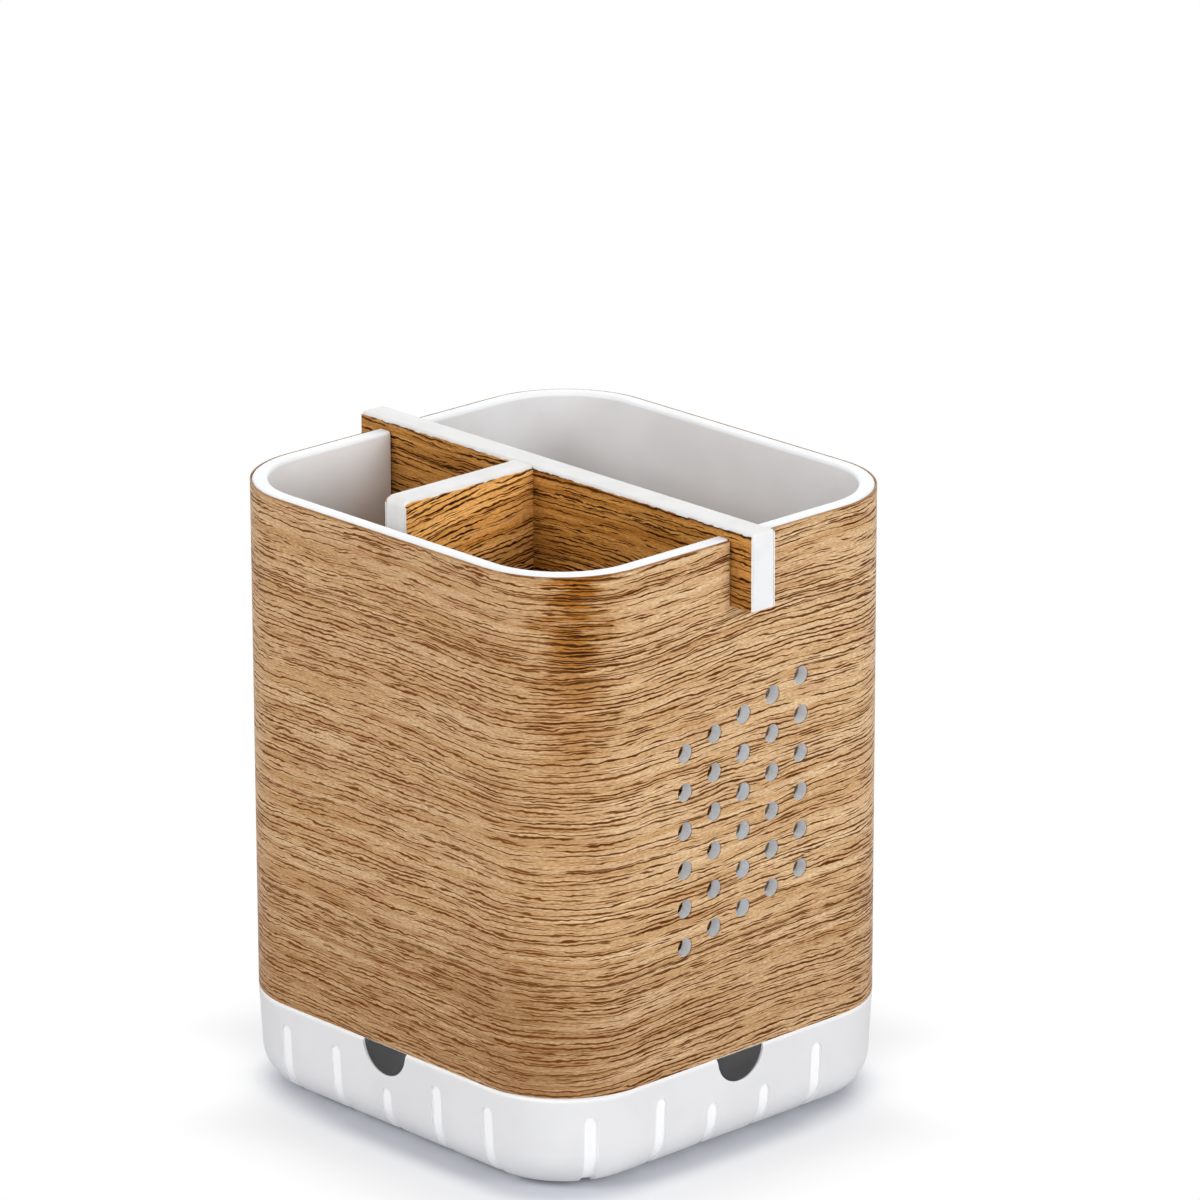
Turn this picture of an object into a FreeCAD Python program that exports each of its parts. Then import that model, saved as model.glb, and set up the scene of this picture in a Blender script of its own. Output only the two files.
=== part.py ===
import FreeCAD, Part
import math
import os
import re
import Sketcher

# Toothbrush holder: a wood-look cup on a white drip tray, with a T-shaped divider that lifts out.
# Millimetres, +Z up. The origin is the middle of the footprint, on the surface that the holder stands on.
# The plain long side of the cup faces -Y, and the side with the vent holes faces +X.

DRIVING_DIMENSIONS = [
    ("width", 100.0, "cup, outside, along X"),
    ("depth", 96.7, "cup, outside, along Y"),
    ("corner_radius", 20.6, "upright corners of the cup, outside"),
    ("rim_height", 125.5, "top of the cup above the table"),
    ("tray_top", 20.3, "top edge of the tray, where the cup stands"),
    ("wall", 3.3, "cup wall without its film"),
    ("film", 0.3, "thickness of the wood-grain film"),
    ("film_seam", 0.25, "bare strip of cup between the film and the tray"),
    ("film_reveal", 0.2, "bare strip of cup between the film and the rim"),
    ("floor_thickness", 2.5, "drain floor of the cup"),
    ("rim_round", 0.7, "rounding of the inner edge of the rim"),
    ("drain_diameter", 5.0, "drain holes in the floor"),
    ("drain_pitch", 15.0, "spacing of the drain holes"),
    ("slot_width", 7.0, "rim slots for the divider"),
    ("slot_depth", 13.3, "rim slots below the rim"),
    ("vent_diameter", 3.8, "vent holes in the +X wall"),
    ("vent_column_pitch", 7.75, "spacing of the columns of vent holes"),
    ("vent_row_pitch", 7.9, "spacing of the vent holes in a column"),
    ("vent_offset", 0.35, "middle column of vent holes from the middle of the +X side"),
    ("vent_rise", 2.1, "step up from one column of vent holes to the next"),
    ("vent_centre", 69.8, "middle of the vent holes above the table"),
    ("vent_wall", 2.4, "thinned cup wall at the vent holes, without its film"),
    ("vent_margin", 3.0, "thinned wall past the outermost vent holes"),
    ("tongue_drop", 9.0, "corner tongues of the cup, down into the tray"),
    ("tongue_thickness", 2.0, "corner tongues, wall"),
    ("tongue_play", 0.8, "gap from the corner tongues to the tray at its top edge"),
    ("tongue_gap_x", 62.0, "clear length between the corner tongues along X"),
    ("tongue_gap_y", 58.0, "clear length between the corner tongues along Y"),
    ("tray_foot", 0.5, "underside of the tray above the table"),
    ("tray_taper", 3.0, "lean of the tray wall, in degrees"),
    ("tray_round", 8.0, "outer rounding at the foot of the tray"),
    ("tray_lip", 1.0, "outer rounding at the top of the tray"),
    ("tray_wall", 1.5, "tray wall, measured level"),
    ("tray_floor", 2.4, "tray floor"),
    ("notch_radius", 6.2, "half-round notch in each side of the tray"),
    ("notch_land", 0.6, "straight edge of a notch, in from the tray's widest outline"),
    ("notch_flare", 2.1, "behind its land, growth of a notch's radius over one wall thickness"),
    ("flute_width", 2.8, "flutes on the tray"),
    ("flute_depth", 0.5, "flutes, depth below the surface"),
    ("flute_run", 12.0, "flutes, reach in under the tray"),
    ("flute_drop", 4.1, "top of a flute below the tray's top edge"),
    ("notch_flute_drop", 9.0, "the same for a flute next to a notch"),
    ("flute_pitch_x", 14.65, "flutes along X, on the two long sides"),
    ("flute_pitch_y", 14.05, "flutes along Y, on the two short sides"),
    ("flute_corner_angle", 28.0, "corner flutes, turned from the X direction, in degrees"),
    ("pad_diameter", 12.0, "non-slip pads"),
    ("pad_thickness", 1.5, "non-slip pads"),
    ("pad_offset_x", 28.0, "middle of a pad from the middle of the tray"),
    ("pad_offset_y", 27.0, "middle of a pad from the middle of the tray"),
    ("panel", 6.2, "long divider with its two films"),
    ("panel_top", 127.6, "top edge of both dividers"),
    ("panel_foot", 25.8, "lower edge of both dividers"),
    ("panel_play", 0.4, "gap from the long divider to the cup wall"),
    ("tab_reach", 5.7, "tabs of the long divider, outside the cup"),
    ("cross_panel", 6.0, "cross divider with its two films"),
    ("cross_x", -8.2, "middle of the cross divider along X"),
    ("cross_reach", 36.5, "free end of the cross divider from the middle of the cup"),
    ("joint_width", 2.6, "tongue and groove between the dividers"),
    ("joint_depth", 1.8, "tongue and groove between the dividers"),
    ("joint_stop", 10.0, "solid part of the long divider above the groove"),
    ("edge_round", 0.5, "rounding along the top edges of the dividers"),
    ("tab_round", 0.5, "rounding of the top corners of the tabs"),
    ("end_round", 1.6, "rounding of the free top corner of the cross divider"),
    ("film_top", 0.6, "bare strip along the top of the dividers"),
    ("film_end", 0.2, "bare strip at the ends of the dividers"),
]

VENT_COLUMNS = 5
VENT_ROWS = 6
DRAIN_ROWS = 5

SPARE = 2.0        # how far a cutting shape reaches past what it cuts
NEAR = 1e-3        # two lengths that differ by less are the same

doc = FreeCAD.newDocument("ToothbrushHolder")
sheet = doc.addObject("Spreadsheet::Sheet", "Dimensions")
for row, (alias, value, note) in enumerate(DRIVING_DIMENSIONS, start=1):
    sheet.set(f"A{row}", alias)
    sheet.set(f"B{row}", str(value))
    sheet.set(f"C{row}", note)
    sheet.setAlias(f"B{row}", alias)
doc.recompute()


def size(alias):
    return float(sheet.get(alias))


def formula(words):
    return re.sub(r"[a-z][a-z_]+", lambda word: "Dimensions." + word.group(0), words)


def bind(item, prop, words):
    item.setExpression(prop, formula(words))


def new_body(label):
    body = doc.addObject("PartDesign::Body", label)
    body.Label = label
    return body


def new_sketch(body, name, plane, lift="0"):
    sketch = body.newObject("Sketcher::SketchObject", name)
    support = [feature for feature in body.Origin.OriginFeatures if feature.Role == plane][0]
    sketch.AttachmentSupport = (support, [""])
    sketch.MapMode = "FlatFace"
    bind(sketch, "AttachmentOffset.Base.z", lift)
    return sketch


def hold(sketch, kind, *where, drawn, words):
    # Adds a dimension at the length it is drawn with, then binds it to the sheet.
    index = sketch.addConstraint(Sketcher.Constraint(kind, *where, drawn))
    bind(sketch, f"Constraints[{index}]", words)


def add_outline(sketch, inset="0"):
    # The cup's rounded rectangle, drawn in by the inset on every side.
    half_x = size("width") / 2
    half_y = size("depth") / 2
    radius = size("corner_radius")
    straight_x = half_x - radius
    straight_y = half_y - radius
    sides = [
        ((-straight_x, -half_y), (straight_x, -half_y)),
        ((half_x, -straight_y), (half_x, straight_y)),
        ((straight_x, half_y), (-straight_x, half_y)),
        ((-half_x, straight_y), (-half_x, -straight_y)),
    ]
    middles = [
        (straight_x, -straight_y),
        (straight_x, straight_y),
        (-straight_x, straight_y),
        (-straight_x, -straight_y),
    ]
    lines = []
    for start, end in sides:
        segment = Part.LineSegment(FreeCAD.Vector(*start, 0), FreeCAD.Vector(*end, 0))
        lines.append(sketch.addGeometry(segment, False))
    arcs = []
    for quarter, middle in enumerate(middles):
        circle = Part.Circle(FreeCAD.Vector(*middle, 0), FreeCAD.Vector(0, 0, 1), radius)
        first_angle = (quarter - 1) * math.pi / 2
        arc = Part.ArcOfCircle(circle, first_angle, first_angle + math.pi / 2)
        arcs.append(sketch.addGeometry(arc, False))
    for corner in range(4):
        sketch.addConstraint(Sketcher.Constraint("Tangent", lines[corner], 2, arcs[corner], 1))
        sketch.addConstraint(Sketcher.Constraint("Tangent", arcs[corner], 2, lines[(corner + 1) % 4], 1))
    for level in (lines[0], lines[2]):
        sketch.addConstraint(Sketcher.Constraint("Horizontal", level))
    for upright in (lines[1], lines[3]):
        sketch.addConstraint(Sketcher.Constraint("Vertical", upright))
    for arc in arcs[1:]:
        sketch.addConstraint(Sketcher.Constraint("Equal", arcs[0], arc))
    hold(sketch, "Radius", arcs[0], drawn=radius, words=f"corner_radius - ({inset})")
    hold(sketch, "DistanceX", -1, 1, lines[1], 1, drawn=half_x, words=f"width / 2 - ({inset})")
    hold(sketch, "DistanceX", lines[3], 1, -1, 1, drawn=half_x, words=f"width / 2 - ({inset})")
    hold(sketch, "DistanceY", -1, 1, lines[2], 1, drawn=half_y, words=f"depth / 2 - ({inset})")
    hold(sketch, "DistanceY", lines[0], 1, -1, 1, drawn=half_y, words=f"depth / 2 - ({inset})")


def add_polygon(sketch, corners):
    # A closed outline of straight sides, with each corner placed by two formulas.
    count = len(corners)
    ring = []
    for turn in range(count):
        angle = 2 * math.pi * turn / count
        ring.append(FreeCAD.Vector(10 * math.cos(angle), 10 * math.sin(angle), 0))
    lines = []
    for turn in range(count):
        segment = Part.LineSegment(ring[turn], ring[(turn + 1) % count])
        lines.append(sketch.addGeometry(segment, False))
    for turn in range(count):
        follower = lines[(turn + 1) % count]
        sketch.addConstraint(Sketcher.Constraint("Coincident", lines[turn], 2, follower, 1))
    for line, point, (across, along) in zip(lines, ring, corners):
        hold(sketch, "DistanceX", -1, 1, line, 1, drawn=point.x, words=across)
        hold(sketch, "DistanceY", -1, 1, line, 1, drawn=point.y, words=along)


def add_circle(sketch, across, along, diameter):
    middle = FreeCAD.Vector(1, 1, 0)
    circle = Part.Circle(middle, FreeCAD.Vector(0, 0, 1), size(diameter) / 2)
    index = sketch.addGeometry(circle, False)
    hold(sketch, "Diameter", index, drawn=size(diameter), words=diameter)
    hold(sketch, "DistanceX", -1, 1, index, 3, drawn=middle.x, words=across)
    hold(sketch, "DistanceY", -1, 1, index, 3, drawn=middle.y, words=along)


def pad(body, sketch, length, reversed_way=False, symmetric=False):
    feature = body.newObject("PartDesign::Pad", sketch.Name + "_pad")
    feature.Profile = sketch
    feature.Reversed = reversed_way
    feature.SideType = "Symmetric" if symmetric else "One side"
    bind(feature, "Length", length)
    doc.recompute()
    return feature


def pocket(body, sketch, length, reversed_way=False, symmetric=False):
    before = body.Shape.Volume
    feature = body.newObject("PartDesign::Pocket", sketch.Name + "_pocket")
    feature.Profile = sketch
    feature.Reversed = reversed_way
    feature.SideType = "Symmetric" if symmetric else "One side"
    bind(feature, "Length", length)
    doc.recompute()
    if body.Shape.Volume > before - NEAR:
        raise RuntimeError(f"{feature.Name} cuts nothing")
    return feature


def round_edges(body, name, radius, wanted):
    # Rounds the edges of the body that the test picks.
    base = body.Tip
    picked = [f"Edge{index}" for index, edge in enumerate(base.Shape.Edges, start=1) if wanted(edge)]
    feature = body.newObject("PartDesign::Fillet", name)
    feature.Base = (base, picked)
    bind(feature, "Radius", radius)
    doc.recompute()
    return feature


def at_height(edge, height):
    box = edge.BoundBox
    return abs(box.ZMin - height) < NEAR and abs(box.ZMax - height) < NEAR


# Cut-outs that the cup and its film share

def cut_rim_slots(body):
    sketch = new_sketch(body, body.Name + "_rim_slots", "YZ_Plane")
    add_polygon(sketch, [
        ("-slot_width / 2", "rim_height - slot_depth"),
        ("slot_width / 2", "rim_height - slot_depth"),
        ("slot_width / 2", f"rim_height + {SPARE}"),
        ("-slot_width / 2", f"rim_height + {SPARE}"),
    ])
    pocket(body, sketch, f"width + {SPARE}", symmetric=True)


def cut_vent_holes(body):
    sketch = new_sketch(body, body.Name + "_vent_holes", "YZ_Plane", f"width / 2 + {SPARE}")
    for column in range(VENT_COLUMNS):
        from_middle = column - (VENT_COLUMNS - 1) / 2
        for row in range(VENT_ROWS):
            from_centre = row - (VENT_ROWS - 1) / 2
            across = f"vent_offset + {from_middle} * vent_column_pitch"
            height = f"vent_centre + {from_centre} * vent_row_pitch + {from_middle} * vent_rise"
            add_circle(sketch, across, height, "vent_diameter")
    pocket(body, sketch, f"wall + film + 2 * {SPARE}")


# Cup

def thin_vent_wall(cup):
    # A shallow recess in the inner face, so that one can see through the short vent holes at a slant.
    columns_out = (VENT_COLUMNS - 1) / 2
    rows_out = (VENT_ROWS - 1) / 2
    half_y = f"({columns_out} * vent_column_pitch + vent_diameter / 2 + vent_margin)"
    half_z = f"({rows_out} * vent_row_pitch + {columns_out} * vent_rise + vent_diameter / 2 + vent_margin)"
    recess = new_sketch(cup, "cup_vent_recess", "YZ_Plane", "width / 2 - film - vent_wall")
    add_polygon(recess, [
        (f"vent_offset - {half_y}", f"vent_centre - {half_z}"),
        (f"vent_offset + {half_y}", f"vent_centre - {half_z}"),
        (f"vent_offset + {half_y}", f"vent_centre + {half_z}"),
        (f"vent_offset - {half_y}", f"vent_centre + {half_z}"),
    ])
    pocket(cup, recess, f"wall - vent_wall + {SPARE}")


def make_cup_shell():
    cup = new_body("cup_shell")
    block = new_sketch(cup, "cup_block", "XY_Plane", "tray_top")
    add_outline(block, "film")
    pad(cup, block, "rim_height - tray_top")

    hollow = new_sketch(cup, "cup_hollow", "XY_Plane", "rim_height")
    add_outline(hollow, "film + wall")
    pocket(cup, hollow, "rim_height - tray_top - floor_thickness")

    inside_x = size("width") / 2 - size("film") - size("wall")
    inside_y = size("depth") / 2 - size("film") - size("wall")

    def is_inner_rim(edge):
        box = edge.BoundBox
        within = box.XMax < inside_x + NEAR and box.YMax < inside_y + NEAR
        return at_height(edge, size("rim_height")) and within and box.XMin > -inside_x - NEAR

    round_edges(cup, "cup_rim_round", "rim_round", is_inner_rim)
    cut_rim_slots(cup)
    thin_vent_wall(cup)
    cut_vent_holes(cup)

    drains = new_sketch(cup, "cup_drains", "XY_Plane", "tray_top + floor_thickness")
    for column in range(DRAIN_ROWS):
        for row in range(DRAIN_ROWS):
            across = f"{column - (DRAIN_ROWS - 1) / 2} * drain_pitch"
            along = f"{row - (DRAIN_ROWS - 1) / 2} * drain_pitch"
            add_circle(drains, across, along, "drain_diameter")
    pocket(cup, drains, f"floor_thickness + {SPARE}")

    # A skirt that fits inside the tray, then cut away along the sides so that four corner tongues stay.
    skirt = new_sketch(cup, "cup_skirt", "XY_Plane", "tray_top")
    add_outline(skirt, "tray_wall + tongue_play")
    add_outline(skirt, "tray_wall + tongue_play + tongue_thickness")
    pad(cup, skirt, "tongue_drop", reversed_way=True)
    gaps = {
        "cup_skirt_gap_x": ("tongue_gap_x / 2", "depth / 2"),
        "cup_skirt_gap_y": ("width / 2", "tongue_gap_y / 2"),
    }
    for name, (half_x, half_y) in gaps.items():
        gap = new_sketch(cup, name, "XY_Plane", "tray_top")
        add_polygon(gap, [
            (f"-({half_x})", f"-({half_y})"),
            (half_x, f"-({half_y})"),
            (half_x, half_y),
            (f"-({half_x})", half_y),
        ])
        pocket(cup, gap, f"tongue_drop + {SPARE}")
    return cup


def make_cup_film():
    film = new_body("cup_wood_film")
    ring = new_sketch(film, "cup_film_ring", "XY_Plane", "tray_top + film_seam")
    add_outline(ring)
    add_outline(ring, "film")
    pad(film, ring, "rim_height - film_reveal - tray_top - film_seam")
    cut_rim_slots(film)
    cut_vent_holes(film)
    return film


# Tray

def make_tray_form(label, inset, underside):
    # The tray's outline drawn in by the inset: a tapered block with a round foot.
    form = new_body(label)
    outline = new_sketch(form, label + "_outline", "XY_Plane", "tray_top")
    add_outline(outline, inset)
    block = pad(form, outline, f"tray_top - ({underside})", reversed_way=True)
    bind(block, "TaperAngle", "-tray_taper")
    doc.recompute()
    foot = form.Shape.BoundBox.ZMin
    round_edges(form, label + "_foot", f"tray_round - ({inset})", lambda edge: at_height(edge, foot))
    return form


def flute_places():
    # Each flute as the point on the outline, the way it faces in degrees and the formula of its drop.
    half_x = size("width") / 2
    half_y = size("depth") / 2
    radius = size("corner_radius")
    places = []
    for facing, side in ((-90, -1), (90, 1)):
        for step in (-2, -1, 0, 1, 2):
            drop = "notch_flute_drop" if step == 0 else "flute_drop"
            places.append((step * size("flute_pitch_x"), side * half_y, facing, drop))
    for facing, side in ((0, 1), (180, -1)):
        for step in (-1.5, -0.5, 0.5, 1.5):
            drop = "notch_flute_drop" if abs(step) < 1 else "flute_drop"
            places.append((side * half_x, step * size("flute_pitch_y"), facing, drop))
    # Of the corners, only the front one and the one opposite have a flute.
    turned = math.radians(size("flute_corner_angle"))
    for side in (1, -1):
        across = side * (half_x - radius + radius * math.cos(turned))
        along = -side * (half_y - radius + radius * math.sin(turned))
        facing = math.degrees(math.atan2(-side * math.sin(turned), side * math.cos(turned)))
        places.append((across, along, facing, "flute_drop"))
    return places


def make_flute_bar(number, across, along, facing, drop):
    # An upright bar with a round top that crosses the tray wall where one flute goes.
    turn = FreeCAD.Rotation(FreeCAD.Vector(0, 0, 1), facing)
    half_width = size("flute_width") / 2
    shoulder = size("tray_top") - size(drop) - half_width
    inner_end = turn.multVec(FreeCAD.Vector(-size("flute_run"), 0, 0)) + FreeCAD.Vector(across, along, 0)

    stem = doc.addObject("Part::Box", f"flute_stem_{number}")
    bind(stem, "Length", f"flute_run + {SPARE}")
    bind(stem, "Width", "flute_width")
    bind(stem, "Height", f"tray_top - {drop} - flute_width / 2 + {SPARE}")
    side_step = turn.multVec(FreeCAD.Vector(0, -half_width, 0))
    stem.Placement = FreeCAD.Placement(inner_end + side_step + FreeCAD.Vector(0, 0, -SPARE), turn)

    crown = doc.addObject("Part::Cylinder", f"flute_crown_{number}")
    bind(crown, "Radius", "flute_width / 2")
    bind(crown, "Height", f"flute_run + {SPARE}")
    lie_down = turn.multiply(FreeCAD.Rotation(FreeCAD.Vector(0, 1, 0), 90))
    crown.Placement = FreeCAD.Placement(inner_end + FreeCAD.Vector(0, 0, shoulder), lie_down)
    return [stem, crown]


def make_joined(kind, name, *shapes):
    joined = doc.addObject(kind, name)
    if kind == "Part::MultiFuse":
        joined.Shapes = list(shapes)
    else:
        joined.Base, joined.Tool = shapes
    joined.Refine = True
    doc.recompute()
    return joined


def make_notch_pair(name, axis, run):
    # One cylinder cuts the notches of two opposite sides. A cone flares each of them inwards.
    rim_middle = FreeCAD.Vector(0, 0, size("tray_top"))
    upright = FreeCAD.Vector(0, 0, 1)
    pair = doc.addObject("Part::Cylinder", name)
    bind(pair, "Radius", "notch_radius")
    bind(pair, "Height", f"{run} + 2 * {SPARE}")
    pair.Placement = FreeCAD.Placement(
        rim_middle - axis * (size(run) / 2 + SPARE), FreeCAD.Rotation(upright, axis))
    flares = []
    for number, inwards in enumerate((axis, axis * -1), start=1):
        flare = doc.addObject("Part::Cone", f"{name}_flare_{number}")
        bind(flare, "Radius1", "notch_radius")
        bind(flare, "Radius2", "notch_radius + notch_flare")
        bind(flare, "Height", "tray_wall")
        flare.Placement = FreeCAD.Placement(
            rim_middle - inwards * (size(run) / 2 - size("notch_land")), FreeCAD.Rotation(upright, inwards))
        flares.append(flare)
    return [pair] + flares


def pad_places():
    return [(side_x * size("pad_offset_x"), side_y * size("pad_offset_y"))
            for side_y in (-1, 1) for side_x in (-1, 1)]


def make_base_tray():
    form = make_tray_form("tray_form", "0", "tray_foot")
    rim = size("tray_top")
    round_edges(form, "tray_form_lip", "tray_lip", lambda edge: at_height(edge, rim))

    flute_floor = make_tray_form("tray_flute_floor", "flute_depth", "tray_foot + flute_depth")
    skin = make_joined("Part::Cut", "tray_skin", form, flute_floor)
    bars = []
    for number, place in enumerate(flute_places(), start=1):
        bars += make_flute_bar(number, *place)
    all_bars = make_joined("Part::MultiFuse", "flute_bars", *bars)
    flutes = make_joined("Part::Common", "tray_flutes", skin, all_bars)

    hollow = make_tray_form("tray_hollow", "tray_wall", "tray_foot + tray_floor")
    recesses = []
    for number, (across, along) in enumerate(pad_places(), start=1):
        recess = doc.addObject("Part::Cylinder", f"pad_recess_{number}")
        bind(recess, "Radius", "pad_diameter / 2")
        bind(recess, "Height", "pad_thickness")
        recess.Placement.Base = FreeCAD.Vector(across, along, 0)
        recesses.append(recess)
    notches = make_notch_pair("notches_along_x", FreeCAD.Vector(1, 0, 0), "width")
    notches += make_notch_pair("notches_along_y", FreeCAD.Vector(0, 1, 0), "depth")
    cuts = make_joined("Part::MultiFuse", "tray_cuts", hollow, *notches, *recesses)
    blank = make_joined("Part::Cut", "tray_blank", form, flutes)
    tray = make_joined("Part::Cut", "base_tray", blank, cuts)
    tray.Label = "base_tray"
    return tray


def make_nonslip_pads():
    pads = []
    for number, (across, along) in enumerate(pad_places(), start=1):
        disc = doc.addObject("Part::Cylinder", f"nonslip_pad_{number}")
        disc.Label = f"nonslip_pad_{number}"
        bind(disc, "Radius", "pad_diameter / 2")
        bind(disc, "Height", "pad_thickness")
        disc.Placement.Base = FreeCAD.Vector(across, along, 0)
        pads.append(disc)
    return pads


# Dividers

def add_panel_profile(sketch, top_margin="0", end_margin="0"):
    # The long divider from the front: a sheet between the cup walls, with a tab over each wall.
    foot_x = "width / 2 - film - wall - panel_play"
    tab_x = f"width / 2 + tab_reach - ({end_margin})"
    tab_foot = "rim_height - slot_depth"
    top = f"panel_top - ({top_margin})"
    right_half = [(foot_x, "panel_foot"), (foot_x, tab_foot), (tab_x, tab_foot), (tab_x, top)]
    left_half = [(f"-({across})", height) for across, height in reversed(right_half)]
    add_polygon(sketch, right_half + left_half)


def cut_joint_groove(body, depth_from, depth_to):
    # The upright groove in the front of the long divider that takes the cross divider.
    groove = new_sketch(body, body.Name + "_groove", "XY_Plane", "panel_foot")
    add_polygon(groove, [
        ("cross_x - joint_width / 2", depth_from),
        ("cross_x + joint_width / 2", depth_from),
        ("cross_x + joint_width / 2", depth_to),
        ("cross_x - joint_width / 2", depth_to),
    ])
    pocket(body, groove, "panel_top - joint_stop - panel_foot", reversed_way=True)


def make_long_divider():
    panel = new_body("long_divider")
    profile = new_sketch(panel, "long_profile", "XZ_Plane")
    add_panel_profile(profile)
    pad(panel, profile, "panel - 2 * film", symmetric=True)
    top = size("panel_top")
    tab_end = size("width") / 2 + size("tab_reach")

    def is_tab_corner(edge):
        box = edge.BoundBox
        return at_height(edge, top) and abs(abs(box.XMin) - tab_end) < NEAR and box.XLength < NEAR

    def is_long_edge(edge):
        return at_height(edge, top) and edge.BoundBox.YLength < NEAR

    round_edges(panel, "long_corner_round", "tab_round", is_tab_corner)
    round_edges(panel, "long_edge_round", "edge_round", is_long_edge)
    cut_joint_groove(panel, f"-panel / 2 - {SPARE}", "film - panel / 2 + joint_depth")

    front = new_body("long_divider_front_film")
    front_profile = new_sketch(front, "long_front_profile", "XZ_Plane", "panel / 2 - film")
    add_panel_profile(front_profile, "film_top", "film_end")
    pad(front, front_profile, "film")
    cut_joint_groove(front, f"-panel / 2 - {SPARE}", f"{SPARE} - panel / 2")

    back = new_body("long_divider_back_film")
    back_profile = new_sketch(back, "long_back_profile", "XZ_Plane", "-panel / 2")
    add_panel_profile(back_profile, "film_top", "film_end")
    pad(back, back_profile, "film")
    return [panel, front, back]


def add_cross_profile(sketch, top_margin="0", end_margin="0"):
    # The cross divider from the side: from the face of the long divider to its free end.
    free_end = f"-cross_reach + ({end_margin})"
    top = f"panel_top - ({top_margin})"
    add_polygon(sketch, [
        (free_end, "panel_foot"),
        ("-panel / 2", "panel_foot"),
        ("-panel / 2", top),
        (free_end, top),
    ])


def make_cross_divider():
    panel = new_body("cross_divider")
    profile = new_sketch(panel, "cross_profile", "YZ_Plane", "cross_x")
    add_cross_profile(profile)
    pad(panel, profile, "cross_panel - 2 * film", symmetric=True)
    tongue = new_sketch(panel, "cross_tongue", "YZ_Plane", "cross_x")
    add_polygon(tongue, [
        ("-panel / 2", "panel_foot"),
        ("film - panel / 2 + joint_depth", "panel_foot"),
        ("film - panel / 2 + joint_depth", "panel_top - joint_stop"),
        ("-panel / 2", "panel_top - joint_stop"),
    ])
    pad(panel, tongue, "joint_width", symmetric=True)

    top = size("panel_top")
    free_end = -size("cross_reach") + 2 * size("film")

    def is_end_corner(height):
        def test(edge):
            box = edge.BoundBox
            return at_height(edge, height) and box.YLength < NEAR and box.YMax < free_end
        return test

    def is_long_edge(edge):
        return at_height(edge, top) and edge.BoundBox.XLength < NEAR

    round_edges(panel, "cross_corner_round", "end_round", is_end_corner(top))
    round_edges(panel, "cross_edge_round", "edge_round", is_long_edge)

    films = []
    places = {
        "cross_divider_left_film": "cross_x - cross_panel / 2",
        "cross_divider_right_film": "cross_x + cross_panel / 2 - film",
    }
    for label, place in places.items():
        film = new_body(label)
        film_profile = new_sketch(film, label + "_profile", "YZ_Plane", place)
        add_cross_profile(film_profile, "film_top", "film_end")
        pad(film, film_profile, "film")
        film_top = top - size("film_top")
        round_edges(film, label + "_corner_round", "end_round - film_top", is_end_corner(film_top))
        films.append(film)
    return [panel] + films


def write_parts(sub_parts):
    doc.recompute()
    broken = [item.Name for item in doc.Objects if "Invalid" in item.State or "Error" in item.State]
    if broken:
        raise RuntimeError("failed objects: " + ", ".join(broken))
    for item in sub_parts:
        shape = item.Shape
        if shape.isNull() or not shape.isValid() or len(shape.Solids) != 1:
            raise RuntimeError(f"{item.Label} is not one valid solid")
    os.makedirs("parts", exist_ok=True)
    for item in sub_parts:
        solid = item.Shape.Solids[0]
        solid.exportStep(os.path.join("parts", item.Label + ".step"))
        box = solid.BoundBox
        print(f"{item.Label:28s} {solid.Volume / 1000:8.3f} cm3"
              f"  x {box.XMin:7.2f} {box.XMax:7.2f}  y {box.YMin:7.2f} {box.YMax:7.2f}"
              f"  z {box.ZMin:7.2f} {box.ZMax:7.2f}")


write_parts(
    [make_cup_shell(), make_cup_film(), make_base_tray()]
    + make_nonslip_pads()
    + make_long_divider()
    + make_cross_divider()
)
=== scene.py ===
import math

import bpy
from mathutils import Matrix, Vector


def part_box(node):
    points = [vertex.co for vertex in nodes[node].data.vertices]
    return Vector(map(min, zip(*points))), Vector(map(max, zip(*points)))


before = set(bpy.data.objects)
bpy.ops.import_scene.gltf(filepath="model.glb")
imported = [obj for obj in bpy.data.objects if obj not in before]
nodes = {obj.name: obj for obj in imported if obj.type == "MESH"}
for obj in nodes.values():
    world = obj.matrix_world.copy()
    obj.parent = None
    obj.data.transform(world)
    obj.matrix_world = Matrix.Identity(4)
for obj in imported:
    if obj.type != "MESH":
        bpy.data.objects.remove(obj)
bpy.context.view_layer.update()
mm = 0.001
noiseMiddle = 0.5      # a noise node wavers about this level
print("frame loaded:", len(nodes), "nodes")


def toLinear(hexColour):
    # sRGB hex to the linear colour that a socket takes
    parts = [int(hexColour[k:k + 2], 16) / 255 for k in (1, 3, 5)]
    return [c / 12.92 if c <= 0.04045 else ((c + 0.055) / 1.055) ** 2.4 for c in parts] + [1.0]


def addNode(tree, kind, links=None, **settings):
    # one node with its settings; a node given for a socket stands for its first output
    node = tree.nodes.new("ShaderNode" + kind)
    for name, value in settings.items():
        setattr(node, name, value)
    for socket, value in (links or {}).items():
        if isinstance(value, bpy.types.Node):
            value = value.outputs[0]
        if isinstance(value, bpy.types.NodeSocket):
            tree.links.new(value, node.inputs[socket])
        else:
            node.inputs[socket].default_value = value
    return node


def newMaterial(name):
    # an empty node material, and the point on the surface in mm
    material = bpy.data.materials.new(name)
    material.use_nodes = True
    tree = material.node_tree
    tree.nodes.clear()
    place = addNode(tree, "TexCoord").outputs["Object"]
    inMm = addNode(tree, "VectorMath", {0: place, "Scale": 1 / mm}, operation="SCALE")
    return material, tree, inMm


def finishMaterial(tree, shader):
    addNode(tree, "OutputMaterial", {"Surface": shader})


def dress(nodeName, material):
    # the CAD node keeps its mesh and takes the material on its object
    node = nodes[nodeName]
    for slot in node.material_slots:
        slot.link = "OBJECT"
        slot.material = material


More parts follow.
